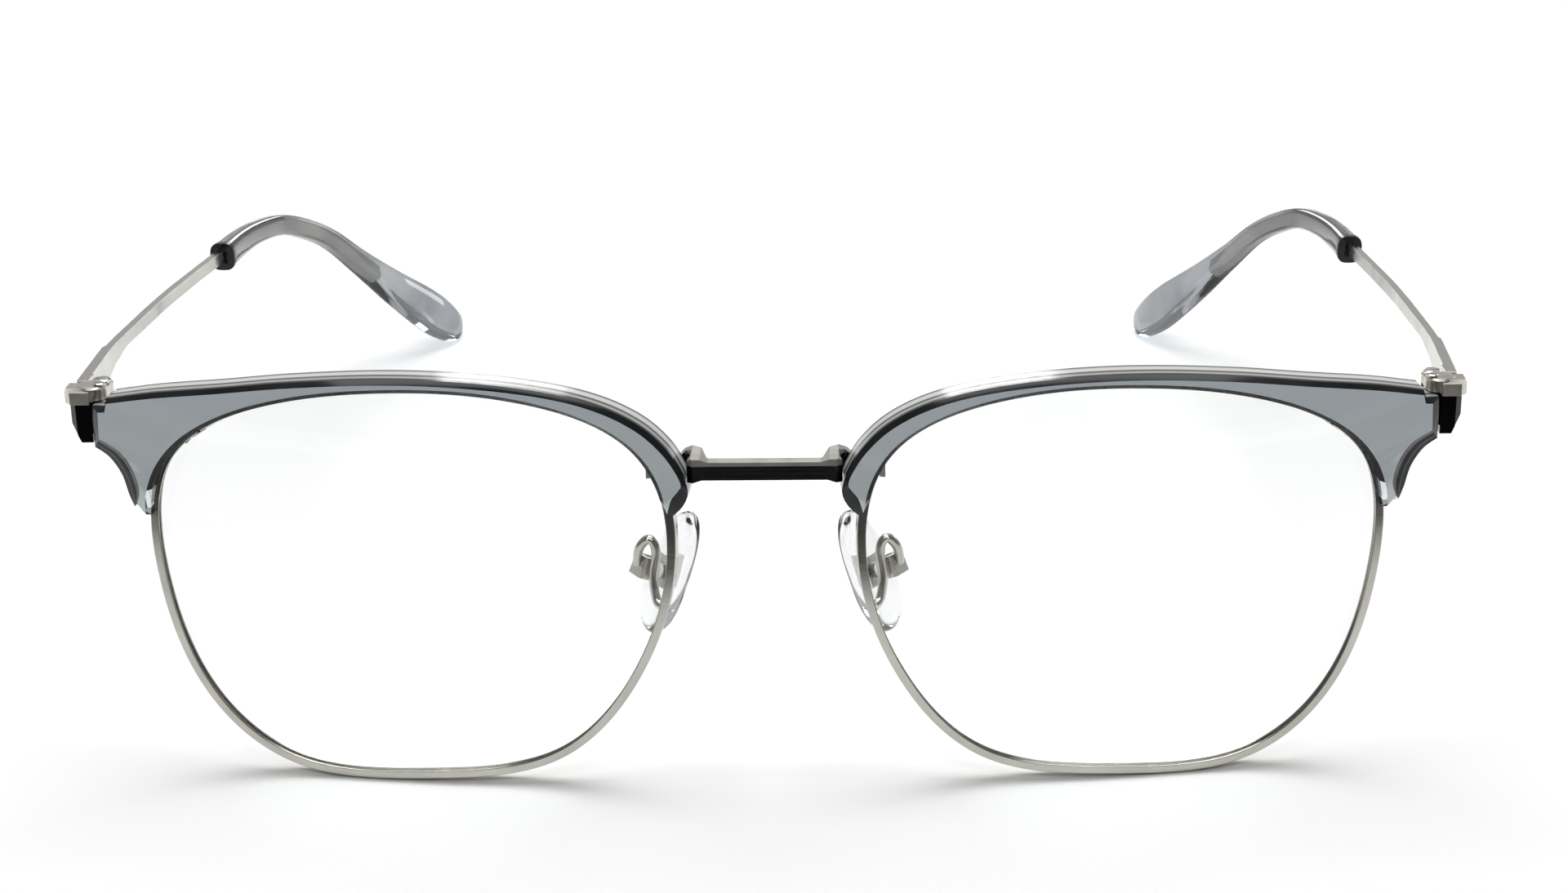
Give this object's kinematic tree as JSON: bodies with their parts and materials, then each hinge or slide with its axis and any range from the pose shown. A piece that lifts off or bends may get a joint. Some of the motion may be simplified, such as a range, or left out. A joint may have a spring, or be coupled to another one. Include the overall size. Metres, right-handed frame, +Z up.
{
  "type": "half rim eyeglasses",
  "caption": "Browline eyeglasses with slim metal eyewires, smoke plastic brow bars, clear lenses, rocking nose pads and folding temples with clear tips.",
  "frame": {"origin": "middle of the bounding box's underside: on the table under the glasses, half way across and half way from the front to the tips' ends", "axes": "+X to the right seen from the front (the wearer's left), +Y back from the front towards the wearer's head, +Z up from the table the open glasses stand on"},
  "size_m": [0.1478, 0.128, 0.0454],
  "materials": {
    "bridge_metal": "polished nickel-silver, fine engraved lines along the front",
    "rim_metal": "polished nickel-silver wire with faint drawing marks",
    "endpiece_metal": "polished, warm silver",
    "temple_metal": "polished, slightly warm silver with faint lengthwise marks",
    "screw_metal": "bright turned steel",
    "brow_plastic": "polished smoke grey-blue acetate with soft streaks",
    "tip_plastic": "clear smoke grey acetate, polished",
    "lens": "clear demonstration lens with a faint coating",
    "pad_plastic": "clear, slightly cloudy",
    "collar": "black"
  },
  "bodies": {
    "front": {"bridge": "bridge_metal", "rim_right": "rim_metal", "rim_left": "rim_metal", "lens_right": "lens", "lens_left": "lens", "brow_right": "brow_plastic", "brow_left": "brow_plastic", "brow_screw_right": "screw_metal", "brow_screw_left": "screw_metal", "brow_rivet_right": "screw_metal", "brow_rivet_left": "screw_metal", "endpiece_right": "endpiece_metal", "endpiece_left": "endpiece_metal", "rim_lug_right": "endpiece_metal", "rim_lug_left": "endpiece_metal", "lock_screw_right": "screw_metal", "lock_screw_left": "screw_metal", "hinge_screw_right": "screw_metal", "hinge_screw_left": "screw_metal", "pad_arm_right": "rim_metal", "pad_arm_left": "rim_metal", "pad_box_right": "endpiece_metal", "pad_box_left": "endpiece_metal", "pad_screw_right": "screw_metal", "pad_screw_left": "screw_metal"},
    "right_temple": {"temple_right": "temple_metal", "tip_collar_right": "collar", "temple_tip_right": "tip_plastic"},
    "left_temple": {"temple_left": "temple_metal", "tip_collar_left": "collar", "temple_tip_left": "tip_plastic"},
    "right_pad": {"nose_pad_right": "pad_plastic", "pad_core_right": "screw_metal"},
    "left_pad": {"nose_pad_left": "pad_plastic", "pad_core_left": "screw_metal"}
  },
  "joints": [
    {"name": "temple_right_fold", "type": "hinge", "parent": "front", "child": "right_temple", "pos_m": [0.0697, -0.04978, 0.03856], "axis": [0, 0.0906, 0.9959], "range_deg": [0, 83]},
    {"name": "temple_left_fold", "type": "hinge", "parent": "front", "child": "left_temple", "pos_m": [-0.0697, -0.04978, 0.03856], "axis": [0, -0.0906, -0.9959], "range_deg": [0, 70]},
    {"name": "pad_right_rock", "type": "hinge", "parent": "front", "child": "right_pad", "pos_m": [0.01261, -0.05685, 0.02219], "axis": [0.5299, 0.8446, -0.0769], "range_deg": [-8, 8]},
    {"name": "pad_left_rock", "type": "hinge", "parent": "front", "child": "left_pad", "pos_m": [-0.01261, -0.05685, 0.02219], "axis": [-0.5299, 0.8446, -0.0769], "range_deg": [-8, 8]}
  ]
}
